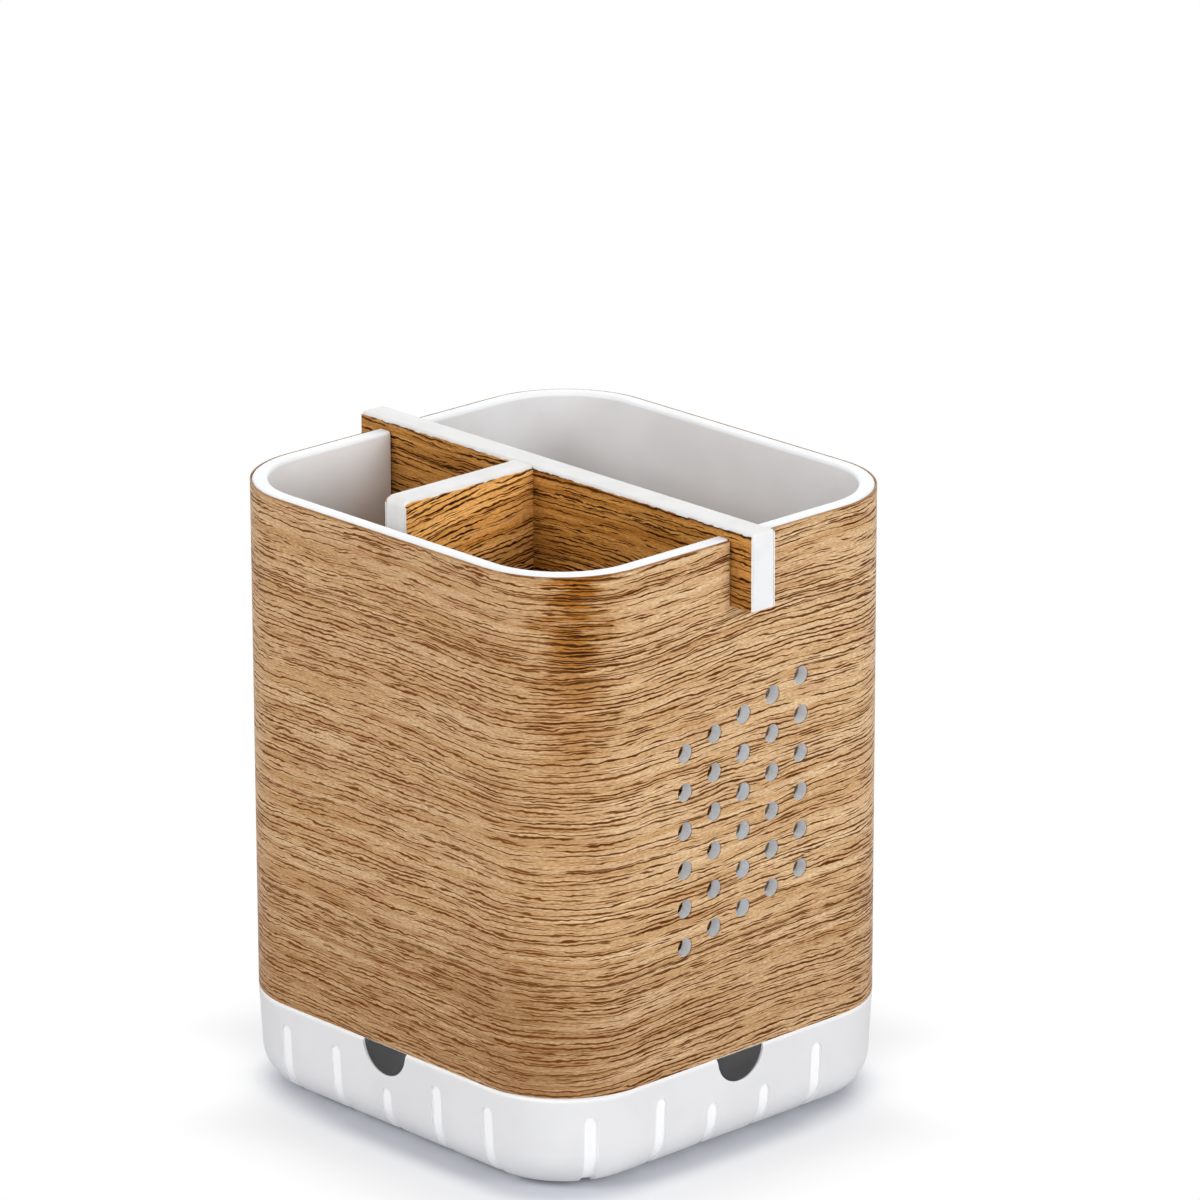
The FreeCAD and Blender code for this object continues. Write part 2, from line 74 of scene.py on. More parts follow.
# Wood-grain film: PVC film printed with oak grain, its pores pressed in, satin coated.
# To the eye: a tan ground, rows of thin dark pore dashes along the grain, brown smudges and a soft sheen.
# Lengths and heights are in mm along and across the grain; from and to are noise levels, unless noted.
cupFilm = {
    "name": "wood_print_pvc_film_satin",
    "light": "#cba980", "mid": "#b58d5f", "brown": "#975f33", "pore": "#673600",
    "smudge": {"length": 24.0, "height": 2.2, "from": 0.4, "to": 0.72, "share": 0.32},
    "line": {"length": 45.0, "height": 1.3, "from": 0.3, "to": 0.7},
    "fibre": {"length": 1.0, "height": 0.25, "from": 0.25, "to": 0.75, "dark": 0.68, "light": 1.28},
    "ink": {"length": 16.0, "height": 3.0, "from": 0.35, "to": 0.6, "faint": 0.85},
    "sway": {"length": 60.0, "height": 40.0, "rise": 2.8},
    "pores": [                                                     # pitch, length and half width in mm
        {"pitch": 1.05, "length": 11.0, "start": 0.265, "half": 0.15, "dark": 1.0},
        {"pitch": 0.8, "length": 6.0, "start": 0.33, "half": 0.115, "dark": 0.95},
    ],
    "poreEdge": {"from": -0.03, "to": 0.04},                       # mm inside a pore
    "bleed": {"reach": 0.1, "share": 0.4, "colour": "#8a5218"},    # brown ink beside a pore, mm
    "paintedPoreHighlight": {"from": -0.4, "to": -0.1, "gain": 1.12},              # painted highlight: lighter along a pore, mm
    "kink": 0.75, "seed": 3.0,
    "roughness": 0.4, "poreRough": 0.18, "pressDepth": 0.1, "press": 0.55, "fibreRelief": 0.2,
    # the print is browner near the foot
    "foot": {"top": 60.0, "low": 28.0, "brown": 0.27, "run": -46.0, "width": 16.0, "corner": 0.34,
             "weak": 0.6, "strong": 1.4, "dense": 0.6, "colour": "#845b34"},
    # painted shade: the top of the front corner is printed darker and more golden, in streaks that fade
    # downwards
    "cornerShade": {"run": -41.0, "width": 9.5, "foot": 60.0, "top": 114.0, "share": 0.95, "ragged": 3.2,
              "length": 9.0, "height": 1.2, "inner": -0.1, "outer": 1.1, "fade": 1.3, "dense": 2.0,
              "colour": "#9a5e0c", "pore": "#2c0a00"},
    # painted sheen: the print is made lighter on the +X side, with darker, straighter pores there; from and
    # to in mm along the wall
    "paintedSheen": {"from": -52.0, "to": -26.0, "gain": (1.17, 1.23, 1.3, 1.0), "dense": -0.2,
             "poreGain": 0.6, "bleed": 0.65, "kink": 0.5},
    "cutEdge": {"top": 125.3, "height": 0.5, "ragged": 0.8, "share": 0.85, "colour": "#8a5a22"},
}
dividerFilm = dict(cupFilm, light="#e9ae67", mid="#ca8a42", brown="#92551a", pore="#361503",
                   pores=[dict(rows, half=1.12 * rows["half"]) for rows in cupFilm["pores"]],
                   chips={"top": 127.0, "crumb": 2.5, "fall": 2.0, "from": 0.46, "to": 0.6,
                          "cutEnd": 0.04, "colour": "#e9e9e7"})
for key in ("foot", "cornerShade", "paintedSheen", "cutEdge"):
    del dividerFilm[key]
longFilm = dict(dividerFilm, name="wood_print_pvc_film_long_divider", reach=55.5,
                light="#c9924e", mid="#a36c2d")
# painted light: the cross divider's film is printed lighter, standing in for light that the inside of the cup
# lacks
crossFilm = dict(dividerFilm, name="wood_print_pvc_film_cross_divider_painted_light", reach=36.3, seed=17.0,
                 light="#fdc072", mid="#de994b")
# how a row of pores wavers, kinks and breaks into dashes, mm
poreForm = {
    "waver": {"length": 9.0, "height": 2.6, "rise": 1.2},
    "kink": {"length": 2.2, "height": 0.9},
    "lowest": 0.2, "highest": 0.8,                   # where a row may lie, as a share of its pitch
    "weak": -0.12, "strong": 0.1, "dense": 0.08,     # how far rows and brown places differ
    "rowShift": 7.37, "taperFrom": -0.2, "taperTo": 0.3, "gap": -0.36,
}
cornerRadius = 20.6                              # outer corners of the cup, mm
grainDip = {"depth": 1.2, "width": 30.0}         # the grain sags towards the front corner, mm
crossSlant = 0.1                                 # rise of the grain on the cross divider, mm per mm


def hump(tree, run, middle, width):
    # 1 at this place along the run, levelling out to 0 on either side
    away = addNode(tree, "Math", {0: run, 1: middle}, operation="SUBTRACT")
    share = addNode(tree, "Math", {0: away, 1: width}, operation="DIVIDE")
    square = addNode(tree, "Math", {0: share, 1: share}, operation="MULTIPLY")
    above = addNode(tree, "Math", {0: square, 1: 1.0}, operation="ADD")
    return addNode(tree, "Math", {0: 1.0, 1: above}, operation="DIVIDE")


def aroundCup(tree, inMm):
    # distance along the wall from the middle of the +X side, so that the grain runs round the corners
    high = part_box("cup_wood_film")[1] / mm
    cornerX, cornerY = high.x - cornerRadius, high.y - cornerRadius
    quarter = cornerY + cornerRadius * math.pi / 2 + cornerX
    x, y, z = addNode(tree, "SeparateXYZ", {0: inMm}).outputs
    absX = addNode(tree, "Math", {0: x}, operation="ABSOLUTE")
    absY = addNode(tree, "Math", {0: y}, operation="ABSOLUTE")
    straightX = addNode(tree, "Math", {0: absX, 1: cornerX}, operation="MINIMUM")
    straightY = addNode(tree, "Math", {0: absY, 1: cornerY}, operation="MINIMUM")
    overX = addNode(tree, "Math", {0: absX, 1: straightX}, operation="SUBTRACT")
    overY = addNode(tree, "Math", {0: absY, 1: straightY}, operation="SUBTRACT")
    turn = addNode(tree, "Math", {0: overY, 1: overX}, operation="ARCTAN2")
    sideY = addNode(tree, "Math", {0: turn, 1: cornerRadius, 2: straightY}, operation="MULTIPLY_ADD")
    sideX = addNode(tree, "Math", {0: cornerX, 1: straightX}, operation="SUBTRACT")
    nearSide = addNode(tree, "Math", {0: sideY, 1: sideX}, operation="ADD")
    farSide = addNode(tree, "Math", {0: 2 * quarter, 1: nearSide}, operation="SUBTRACT")
    isNear = addNode(tree, "Math", {0: x, 1: 0.0}, operation="GREATER_THAN")
    along = addNode(tree, "Mix", {0: isNear, 2: farSide, 3: nearSide})
    sign = addNode(tree, "Math", {0: y}, operation="SIGN")
    run = addNode(tree, "Math", {0: along, 1: sign}, operation="MULTIPLY")
    frontCorner = -(cornerY + cornerRadius * math.pi / 4)
    sag = hump(tree, run, frontCorner, grainDip["width"])
    up = addNode(tree, "Math", {0: sag, 1: grainDip["depth"], 2: z}, operation="MULTIPLY_ADD")
    return run, up


def alongX(tree, inMm):
    x, y, z = addNode(tree, "SeparateXYZ", {0: inMm}).outputs
    return x, z


def alongY(tree, inMm):
    # the film lies a little askew, so its grain rises towards the long divider
    x, y, z = addNode(tree, "SeparateXYZ", {0: inMm}).outputs
    return y, addNode(tree, "Math", {0: y, 1: -crossSlant, 2: z}, operation="MULTIPLY_ADD")


def stretched(tree, place, cell, detail):
    # noise drawn out along the grain, with cells of this length and height
    share = (1 / cell["length"], 1 / cell["height"], 1.0)
    spot = addNode(tree, "VectorMath", {0: place, 1: share}, operation="MULTIPLY")
    return addNode(tree, "TexNoise", {"Vector": spot, "Scale": 1.0, "Detail": detail, "Roughness": 0.5})


def paintedCornerShade(tree, run, z, place, cornerShade):
    # painted shade: fine darker streaks along the grain, strongest at the rim and fading out downwards
    offset = addNode(tree, "Math", {0: run, 1: cornerShade["run"]}, operation="SUBTRACT")
    share = addNode(tree, "Math", {0: offset, 1: cornerShade["width"]}, operation="DIVIDE")
    away = addNode(tree, "Math", {0: share}, operation="ABSOLUTE")
    streak = stretched(tree, place, cornerShade, 3.0)
    edge = addNode(tree, "Math", {0: streak, 1: cornerShade["ragged"], 2: away}, operation="MULTIPLY_ADD")
    middle = noiseMiddle * cornerShade["ragged"]
    across = addNode(tree, "MapRange", {0: edge, 1: middle + cornerShade["inner"], 2: middle + cornerShade["outer"],
                                        3: cornerShade["share"], 4: 0.0}, interpolation_type="SMOOTHSTEP")
    climb = addNode(tree, "MapRange", {0: z, 1: cornerShade["foot"], 2: cornerShade["top"]})
    fade = addNode(tree, "Math", {0: climb, 1: cornerShade["fade"]}, operation="POWER")
    return addNode(tree, "Math", {0: across, 1: fade}, operation="MULTIPLY")


def poreRows(tree, run, up, place, dense, kinkSize, rows, seed):
    # rows of dashes that waver, swell and taper out along the run; the depth inside a dash in mm
    pitch, start = rows["pitch"], rows["start"]
    waver = stretched(tree, place, poreForm["waver"], 1.0)
    lift = addNode(tree, "Math", {0: waver, 1: noiseMiddle}, operation="SUBTRACT")
    level = addNode(tree, "Math", {0: up, 1: pitch}, operation="DIVIDE")
    rise = poreForm["waver"]["rise"] / pitch
    count = addNode(tree, "Math", {0: lift, 1: rise, 2: level}, operation="MULTIPLY_ADD")
    row = addNode(tree, "Math", {0: count}, operation="FLOOR")
    inRow = addNode(tree, "Math", {0: count}, operation="FRACT")
    chance = addNode(tree, "TexWhiteNoise", {"W": row}, noise_dimensions="1D")
    middle = addNode(tree, "MapRange", {0: chance, 3: poreForm["lowest"], 4: poreForm["highest"]})
    chances = addNode(tree, "SeparateColor", {0: chance.outputs["Color"]})
    strength = addNode(tree, "MapRange", {0: chances.outputs[1], 3: poreForm["weak"], 4: poreForm["strong"]})
    gap = addNode(tree, "Math", {0: inRow, 1: middle}, operation="SUBTRACT")
    kink = stretched(tree, place, poreForm["kink"], 1.0)
    bent = addNode(tree, "Math", {0: kink, 1: noiseMiddle}, operation="SUBTRACT")
    strayed = addNode(tree, "Math", {0: bent, 1: kinkSize, 2: gap}, operation="MULTIPLY_ADD")
    away = addNode(tree, "Math", {0: strayed}, operation="ABSOLUTE")
    along = addNode(tree, "Math", {0: run, 1: rows["length"]}, operation="DIVIDE")
    shifted = addNode(tree, "Math", {0: row, 1: poreForm["rowShift"], 2: along}, operation="MULTIPLY_ADD")
    dashPlace = addNode(tree, "CombineXYZ", {0: shifted, 1: row, 2: seed})
    dash = addNode(tree, "TexNoise", {"Vector": dashPlace, "Scale": 1.0, "Detail": 1.0})
    rowDash = addNode(tree, "Math", {0: dash, 1: strength}, operation="ADD")
    denser = addNode(tree, "Math", {0: dense, 1: poreForm["dense"], 2: rowDash}, operation="MULTIPLY_ADD")
    half = addNode(tree, "MapRange",
                   {0: denser, 1: start + poreForm["taperFrom"], 2: start + poreForm["taperTo"],
                    3: poreForm["gap"], 4: rows["half"]})
    return addNode(tree, "Math", {0: away, 1: -pitch, 2: half}, operation="MULTIPLY_ADD")


def knifeEdge(tree, printed, lineNoise, z, edge):
    # the knife leaves the film's top edge brown
    top = edge["top"] + noiseMiddle * edge["ragged"]
    ragged = addNode(tree, "Math", {0: lineNoise, 1: edge["ragged"], 2: z}, operation="MULTIPLY_ADD")
    share = addNode(tree, "MapRange", {0: ragged, 1: top - edge["height"], 2: top, 3: 0.0, 4: edge["share"]})
    return addNode(tree, "Mix", {0: share, 6: printed, 7: toLinear(edge["colour"])},
                   data_type="RGBA").outputs[2]


def sawnEdge(tree, printed, inMm, run, z, look):
    # the saw chips the film along the board's top edge, and its cut ends show the pale core
    chips = look["chips"]
    depth = addNode(tree, "Math", {0: chips["top"], 1: z}, operation="SUBTRACT")
    crumb = addNode(tree, "TexNoise", {"Vector": inMm, "Scale": 1 / chips["crumb"], "Detail": 3.0})
    chip = addNode(tree, "Math", {0: depth, 1: -chips["fall"], 2: crumb}, operation="MULTIPLY_ADD")
    chipShare = addNode(tree, "MapRange", {0: chip, 1: chips["from"], 2: chips["to"]})
    side = addNode(tree, "Math", {0: run}, operation="ABSOLUTE")
    cutEnd = addNode(tree, "Math", {0: side, 1: look["reach"] - chips["cutEnd"]}, operation="GREATER_THAN")
    share = addNode(tree, "Math", {0: chipShare, 1: cutEnd}, operation="MAXIMUM")
    return addNode(tree, "Mix", {0: share, 6: printed, 7: toLinear(chips["colour"])},
                   data_type="RGBA").outputs[2]


def woodFilm(look, layOut):
    material, tree, inMm = newMaterial(look["name"])
    run, up = layOut(tree, inMm)
    z = addNode(tree, "SeparateXYZ", {0: inMm}).outputs[2]
    # the grain wanders up and down
    level = addNode(tree, "CombineXYZ", {0: run, 1: up, 2: look["seed"]})
    wander = stretched(tree, level, look["sway"], 2.0)
    offset = addNode(tree, "Math", {0: wander, 1: noiseMiddle}, operation="SUBTRACT")
    swayed = addNode(tree, "Math", {0: offset, 1: 2 * look["sway"]["rise"], 2: up}, operation="MULTIPLY_ADD")
    place = addNode(tree, "CombineXYZ", {0: run, 1: swayed, 2: look["seed"]})

    # ground: light and dark growth lines, with brown smudges
    smudge, line, fibre = look["smudge"], look["line"], look["fibre"]
    smudgeNoise = stretched(tree, place, smudge, 3.0)
    smudged = addNode(tree, "MapRange", {0: smudgeNoise, 1: smudge["from"], 2: smudge["to"]},
                      interpolation_type="SMOOTHSTEP")
    lineNoise = stretched(tree, place, line, 3.0)
    lined = addNode(tree, "MapRange", {0: lineNoise, 1: line["from"], 2: line["to"]},
                    interpolation_type="SMOOTHSTEP")
    fibreNoise = stretched(tree, place, fibre, 1.0)
    ground = addNode(tree, "Mix", {0: lined, 6: toLinear(look["light"]), 7: toLinear(look["mid"])},
                     data_type="RGBA").outputs[2]
    smudgeShare = addNode(tree, "Math", {0: smudged, 1: smudge["share"]}, operation="MULTIPLY")
    ground = addNode(tree, "Mix", {0: smudgeShare, 6: ground, 7: toLinear(look["brown"])},
                     data_type="RGBA").outputs[2]
    dense, poreColour = smudged, toLinear(look["pore"])
    bleed, kinkSize = look["bleed"], look["kink"]
    bleedShare = bleed["share"]
    if "foot" in look:
        foot = look["foot"]
        corner = hump(tree, run, foot["run"], foot["width"])
        amount = addNode(tree, "Math", {0: corner, 1: foot["corner"], 2: foot["brown"]},
                         operation="MULTIPLY_ADD")
        streaky = addNode(tree, "MapRange", {0: lineNoise, 1: line["from"], 2: line["to"],
                                             3: foot["weak"], 4: foot["strong"]})
        low = addNode(tree, "MapRange", {0: z, 1: foot["top"], 2: foot["low"]},
                      interpolation_type="SMOOTHSTEP")
        lowStreaks = addNode(tree, "Math", {0: low, 1: streaky}, operation="MULTIPLY")
        browner = addNode(tree, "Math", {0: lowStreaks, 1: amount}, operation="MULTIPLY")
        ground = addNode(tree, "Mix", {0: browner, 6: ground, 7: toLinear(foot["colour"])},
                         data_type="RGBA").outputs[2]
        dense = addNode(tree, "Math", {0: browner, 1: foot["dense"], 2: dense}, operation="MULTIPLY_ADD")
    # painted sheen: lighter ground, darker pores and less bleed and kink towards the +X side
    if "paintedSheen" in look:
        paintedSheen = look["paintedSheen"]
        side = addNode(tree, "MapRange", {0: run, 1: paintedSheen["from"], 2: paintedSheen["to"]},
                       interpolation_type="SMOOTHSTEP")
        gain = addNode(tree, "Mix", {0: side, 6: (1.0, 1.0, 1.0, 1.0), 7: paintedSheen["gain"]},
                       data_type="RGBA").outputs[2]
        ground = addNode(tree, "VectorMath", {0: ground, 1: gain}, operation="MULTIPLY").outputs[0]
        dense = addNode(tree, "Math", {0: side, 1: paintedSheen["dense"], 2: dense}, operation="MULTIPLY_ADD")
        bleedShare = addNode(tree, "MapRange", {0: side, 3: bleed["share"], 4: paintedSheen["bleed"]})
        kinkSize = addNode(tree, "MapRange", {0: side, 3: look["kink"], 4: paintedSheen["kink"]})
        darker = addNode(tree, "MapRange", {0: side, 3: 1.0, 4: paintedSheen["poreGain"]})
        poreColour = addNode(tree, "VectorMath", {0: poreColour[:3], "Scale": darker},
                             operation="SCALE").outputs[0]
    # painted shade: darker golden ground and darker, denser pores at the top of the front corner
    if "cornerShade" in look:
        cornerShade = look["cornerShade"]
        cornerShaded = paintedCornerShade(tree, run, z, place, cornerShade)
        ground = addNode(tree, "Mix", {0: cornerShaded, 6: ground, 7: toLinear(cornerShade["colour"])},
                         data_type="RGBA").outputs[2]
        poreColour = addNode(tree, "Mix", {0: cornerShaded, 6: poreColour, 7: toLinear(cornerShade["pore"])},
                             data_type="RGBA").outputs[2]
        dense = addNode(tree, "Math", {0: cornerShaded, 1: cornerShade["dense"], 2: dense}, operation="MULTIPLY_ADD")

    # pores: long and short dashes, fainter where the ink is thin
    poreEdge, ink, paintedPoreHighlight = look["poreEdge"], look["ink"], look["paintedPoreHighlight"]
    depths = [poreRows(tree, run, swayed, place, dense, kinkSize, rows, look["seed"])
              for rows in look["pores"]]
    longPores, shortPores = (
        addNode(tree, "MapRange", {0: depth, 1: poreEdge["from"], 2: poreEdge["to"], 3: 0.0, 4: rows["dark"]},
                interpolation_type="SMOOTHSTEP")
        for depth, rows in zip(depths, look["pores"]))
    sharp = addNode(tree, "Math", {0: longPores, 1: shortPores}, operation="MAXIMUM")
    inkNoise = stretched(tree, place, ink, 2.0)
    inked = addNode(tree, "MapRange", {0: inkNoise, 1: ink["from"], 2: ink["to"], 3: ink["faint"], 4: 1.0})
    pores = addNode(tree, "Math", {0: sharp, 1: inked}, operation="MULTIPLY")
    # painted highlight: lighter along each long pore; the print is brown right beside any pore
    lighter = addNode(tree, "MapRange",
                      {0: depths[0], 1: paintedPoreHighlight["from"], 2: paintedPoreHighlight["to"], 3: 1.0, 4: paintedPoreHighlight["gain"]},
                      interpolation_type="SMOOTHSTEP")
    fibreShade = addNode(tree, "MapRange", {0: fibreNoise, 1: fibre["from"], 2: fibre["to"],
                                            3: fibre["dark"], 4: fibre["light"]})
    shade = addNode(tree, "Math", {0: fibreShade, 1: lighter}, operation="MULTIPLY")
    deepest = addNode(tree, "Math", {0: depths[0], 1: depths[1]}, operation="MAXIMUM")
    beside = addNode(tree, "MapRange", {0: deepest, 1: -bleed["reach"], 2: 0.0, 3: 0.0, 4: bleedShare},
                     interpolation_type="SMOOTHSTEP")
    ground = addNode(tree, "Mix", {0: beside, 6: ground, 7: toLinear(bleed["colour"])},
                     data_type="RGBA").outputs[2]
    fibred = addNode(tree, "VectorMath", {0: ground, "Scale": shade}, operation="SCALE")
    printed = addNode(tree, "Mix", {0: pores, 6: fibred, 7: poreColour}, data_type="RGBA").outputs[2]
    if "cutEdge" in look:
        printed = knifeEdge(tree, printed, lineNoise, z, look["cutEdge"])
    if "chips" in look:
        printed = sawnEdge(tree, printed, inMm, run, z, look)

    rough = addNode(tree, "Math", {0: pores, 1: look["poreRough"], 2: look["roughness"]},
                    operation="MULTIPLY_ADD")
    relief = addNode(tree, "Math", {0: fibreNoise, 1: look["fibreRelief"], 2: 1.0}, operation="MULTIPLY_ADD")
    height = addNode(tree, "Math", {0: relief, 1: pores}, operation="SUBTRACT")
    bump = addNode(tree, "Bump", {"Height": height, "Strength": look["press"],
                                  "Distance": look["pressDepth"] * mm})
    shader = addNode(tree, "BsdfPrincipled",
                     {"Base Color": printed, "Roughness": rough, "Normal": bump, "IOR": 1.5,
                      "Specular IOR Level": 0.05, "Coat Weight": 0.08, "Coat Roughness": 0.35})
    finishMaterial(tree, shader)
    return material


cupFilmMaterial = woodFilm(cupFilm, aroundCup)
longFilmMaterial = woodFilm(longFilm, alongX)
crossFilmMaterial = woodFilm(crossFilm, alongY)
dress("cup_wood_film", cupFilmMaterial)
for name in ("long_divider_front_film", "long_divider_back_film"):
    dress(name, longFilmMaterial)
for name in ("cross_divider_left_film", "cross_divider_right_film"):
    dress(name, crossFilmMaterial)
print("wood films dressed")


# White plastics. Mottle and grain sizes, and the depth of the grain, are in mm.
whiteParts = {
    # ABS, moulded and satin: an even white with a soft highlight
    "cup_shell": {
        "material": "white_abs_satin_moulded", "colour": "#f0f2f4", "shade": "#eaecee",
        "mottle": 18.0, "grain": 0.5, "grainDepth": 0.012, "roughness": 0.42,
    },
    # polypropylene, moulded fine matt: light comes through it a little; its flute floors are painted whiter,
    # and so is the rounded top lip as a painted highlight
    "base_tray": {
        "material": "white_polypropylene_fine_matt", "colour": "#f7f7f7", "shade": "#f3f3f3",
        "mottle": 14.0, "grain": 0.35, "grainDepth": 0.02, "roughness": 0.5,
        "fluteWhiteLipHighlight": "#fbfbfb", "translucent": 0.25, "fluteTranslucent": 0.06,
    },
    # foam-PVC board, sawn: a dull, slightly uneven off-white
    "divider_board": {
        "material": "white_foam_pvc_board_cut", "colour": "#e6e6e5", "shade": "#e0e0df",
        "mottle": 6.0, "grain": 0.4, "grainDepth": 0.03, "roughness": 0.5,
    },
    # silicone rubber, moulded matt: a warm grey-white with hardly any highlight
    "nonslip_pads": {
        "material": "white_silicone_rubber_matt", "colour": "#dededb", "shade": "#d2d2ce",
        "mottle": 5.0, "grain": 0.6, "grainDepth": 0.03, "roughness": 0.65,
    },
}
whiteFinish = {
    "patchFrom": 0.35, "patchTo": 0.65, "grainFrom": 0.3, "grainTo": 0.7,   # noise levels
    "smoother": 0.05, "rougher": 0.07, "press": 0.5,
}
trayForm = {
    "top": 20.3, "lean": 3.0, "footRound": 8.0, "foot": 0.5,   # mm and degrees, as the CAD tray
    "fluteFrom": 0.05, "fluteFull": 0.25,                      # depth of a flute under the skin, mm
    "insideFrom": 0.7, "insideFull": 1.1,                      # where the inside starts under the skin, mm
}


def cornerReach(tree, inMm):
    # distance in plan from the rectangle that the rounded corners turn about
    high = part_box("cup_wood_film")[1] / mm
    x, y, z = addNode(tree, "SeparateXYZ", {0: inMm}).outputs
    absX = addNode(tree, "Math", {0: x}, operation="ABSOLUTE")
    absY = addNode(tree, "Math", {0: y}, operation="ABSOLUTE")
    overX = addNode(tree, "Math", {0: absX, 1: high.x - cornerRadius}, operation="SUBTRACT")
    overY = addNode(tree, "Math", {0: absY, 1: high.y - cornerRadius}, operation="SUBTRACT")
    pastX = addNode(tree, "Math", {0: overX, 1: 0.0}, operation="MAXIMUM")
    pastY = addNode(tree, "Math", {0: overY, 1: 0.0}, operation="MAXIMUM")
    corner = addNode(tree, "CombineXYZ", {0: pastX, 1: pastY})
    return addNode(tree, "VectorMath", {0: corner}, operation="LENGTH").outputs["Value"]


def fluteShare(tree, inMm):
    # 1 on the floor of a flute, half a millimetre below the tray's outer skin, and 0 on the skin and inside
    reach = cornerReach(tree, inMm)
    z = addNode(tree, "SeparateXYZ", {0: inMm}).outputs[2]
    lean = math.tan(math.radians(trayForm["lean"]))
    footRound = trayForm["footRound"]
    bend = trayForm["foot"] + footRound
    middle = cornerRadius - (trayForm["top"] - bend) * lean - footRound
    across = addNode(tree, "Math", {0: reach, 1: middle}, operation="SUBTRACT")
    belowBend = addNode(tree, "Math", {0: z, 1: bend}, operation="MINIMUM")
    down = addNode(tree, "Math", {0: bend, 1: belowBend}, operation="SUBTRACT")
    aboveBend = addNode(tree, "Math", {0: z, 1: belowBend}, operation="SUBTRACT")
    fromMiddle = addNode(tree, "CombineXYZ", {0: across, 1: down})
    radius = addNode(tree, "VectorMath", {0: fromMiddle}, operation="LENGTH").outputs["Value"]
    leant = addNode(tree, "Math", {0: aboveBend, 1: lean, 2: footRound}, operation="MULTIPLY_ADD")
    depth = addNode(tree, "Math", {0: leant, 1: radius}, operation="SUBTRACT")
    below = addNode(tree, "MapRange", {0: depth, 1: trayForm["fluteFrom"], 2: trayForm["fluteFull"]},
                    interpolation_type="SMOOTHSTEP")
    outside = addNode(tree, "MapRange", {0: depth, 1: trayForm["insideFrom"], 2: trayForm["insideFull"],
                                         3: 1.0, 4: 0.0})
    return addNode(tree, "Math", {0: below, 1: outside}, operation="MULTIPLY")


def whitePlastic(look):
    material, tree, inMm = newMaterial(look["material"])
    finish, roughness = whiteFinish, look["roughness"]
    mottle = addNode(tree, "TexNoise", {"Vector": inMm, "Scale": 1 / look["mottle"], "Detail": 3.0})
    grain = addNode(tree, "TexNoise", {"Vector": inMm, "Scale": 1 / look["grain"], "Detail": 2.0})
    patch = addNode(tree, "MapRange", {0: mottle, 1: finish["patchFrom"], 2: finish["patchTo"]},
                    interpolation_type="SMOOTHSTEP")
    colour = addNode(tree, "Mix", {0: patch, 6: toLinear(look["colour"]), 7: toLinear(look["shade"])},
                     data_type="RGBA").outputs[2]
    # painted highlight: the flute floors and the rounded top lip take a whiter colour
    if "fluteWhiteLipHighlight" in look:
        flute = fluteShare(tree, inMm)
        colour = addNode(tree, "Mix", {0: flute, 6: colour, 7: toLinear(look["fluteWhiteLipHighlight"])},
                         data_type="RGBA").outputs[2]
    rough = addNode(tree, "MapRange", {0: grain, 1: finish["grainFrom"], 2: finish["grainTo"],
                                       3: roughness - finish["smoother"], 4: roughness + finish["rougher"]})
    bump = addNode(tree, "Bump", {"Height": grain, "Strength": finish["press"],
                                  "Distance": look["grainDepth"] * mm})
    shader = addNode(tree, "BsdfPrincipled",
                     {"Base Color": colour, "Roughness": rough, "Normal": bump, "IOR": 1.49})
    if "translucent" in look:
        # light comes through the thin wall, least at the flutes and the top lip
        share = addNode(tree, "MapRange", {0: flute, 3: look["translucent"], 4: look["fluteTranslucent"]})
        through = addNode(tree, "BsdfTranslucent", {"Color": colour})
        shader = addNode(tree, "MixShader", {0: share, 1: shader, 2: through})
    finishMaterial(tree, shader)
    return material


dress("cup_shell", whitePlastic(whiteParts["cup_shell"]))
dress("base_tray", whitePlastic(whiteParts["base_tray"]))
boardMaterial = whitePlastic(whiteParts["divider_board"])
for name in ("long_divider", "cross_divider"):
    dress(name, boardMaterial)
padMaterial = whitePlastic(whiteParts["nonslip_pads"])
for number in range(1, 5):
    dress("nonslip_pad_%d" % number, padMaterial)
print("white parts dressed")


# Floor and background: one plain sheet of pale matt paper that holds the shadow near the holder.
# It goes over to white in two steps, sooner beside the side corners than in front or behind.
floorSheet = {
    "size": 12.0, "colour": "#d3d5dc",            # size in m
    "frontWay": (0.7071, -0.7071, 0.0),           # towards the front corner
    "sideReach": 5.0, "frontReach": 30.0,         # mm that way, where the side and front values hold
    # each step in mm outside the cup's outline, beside the side corners and in front
    "steps": [{"from": (-6.0, -1.5), "to": (3.0, 5.5), "share": 0.62},
              {"from": (-6.0, 4.0), "to": (8.0, 29.0), "share": 0.38}],
}


def seenRays(tree):
    # 1 for what the camera sees, also in gloss or through glass, and 0 for light on its way between surfaces
    path = addNode(tree, "LightPath")
    seen = addNode(tree, "Math", {0: path.outputs["Is Camera Ray"], 1: path.outputs["Is Glossy Ray"]},
                   operation="MAXIMUM")
    return addNode(tree, "Math", {0: seen, 1: path.outputs["Is Transmission Ray"]}, operation="MAXIMUM")


